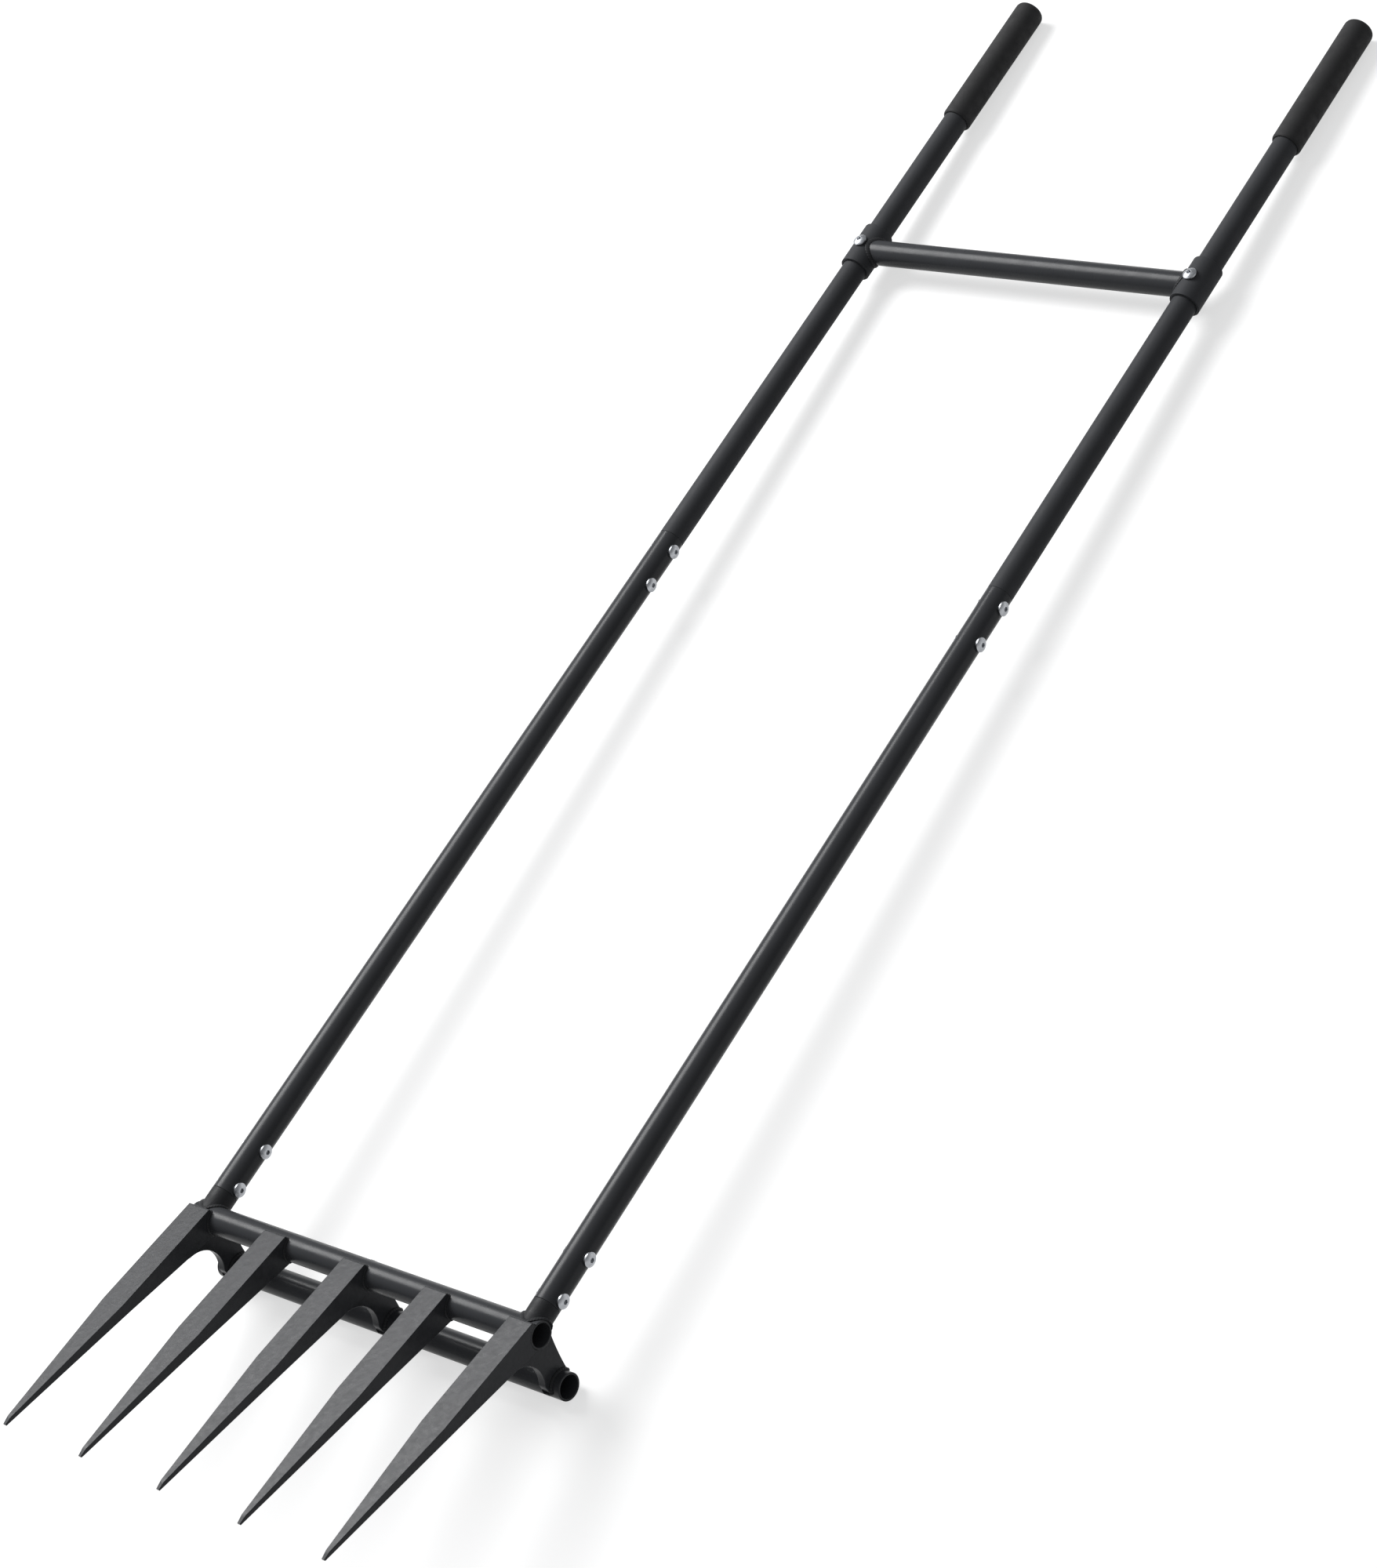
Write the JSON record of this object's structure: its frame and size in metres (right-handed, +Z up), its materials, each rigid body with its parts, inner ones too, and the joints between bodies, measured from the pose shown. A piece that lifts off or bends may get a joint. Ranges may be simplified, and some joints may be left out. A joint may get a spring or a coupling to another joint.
{
  "type": "broadfork",
  "caption": "Two-handled broadfork: wedge tines under a tubular tread bar, a heel bar to lever on, bolted tube handles joined by a crossbrace, and rubber grips.",
  "frame": {"origin": "Bottom centre of the box, on the floor that the tool lies on.", "axes": "+X to the right between the handles, +Y from the tines to the grips, +Z up out of the floor, the side that the tines' front faces look to. The tool lies on its back, on the heel bar and the ends of the two grips."},
  "size_m": [0.4317, 1.7738, 0.1453],
  "materials": {
    "powder_coat": "satin dark grey powder coat on steel",
    "grip_rubber": "matte moulded rubber",
    "zinc_hardware": "bright zinc plate"
  },
  "bodies": {
    "root": {"tread_bar": "powder_coat", "heel_bar": "powder_coat", "tine_1": "powder_coat", "tine_2": "powder_coat", "tine_3": "powder_coat", "tine_4": "powder_coat", "tine_5": "powder_coat", "gusset_left": "powder_coat", "gusset_centre": "powder_coat", "gusset_right": "powder_coat", "handle_stub_left": "powder_coat", "handle_stub_right": "powder_coat", "lower_handle_left": "powder_coat", "lower_handle_right": "powder_coat", "upper_handle_left": "powder_coat", "upper_handle_right": "powder_coat", "brace_collar_left": "powder_coat", "brace_collar_right": "powder_coat", "crossbrace": "powder_coat", "grip_left": "grip_rubber", "grip_right": "grip_rubber", "head_bolts": "zinc_hardware", "head_nuts": "zinc_hardware", "splice_bolts": "zinc_hardware", "splice_nuts": "zinc_hardware", "brace_bolts": "zinc_hardware", "brace_nuts": "zinc_hardware"}
  },
  "joints": []
}
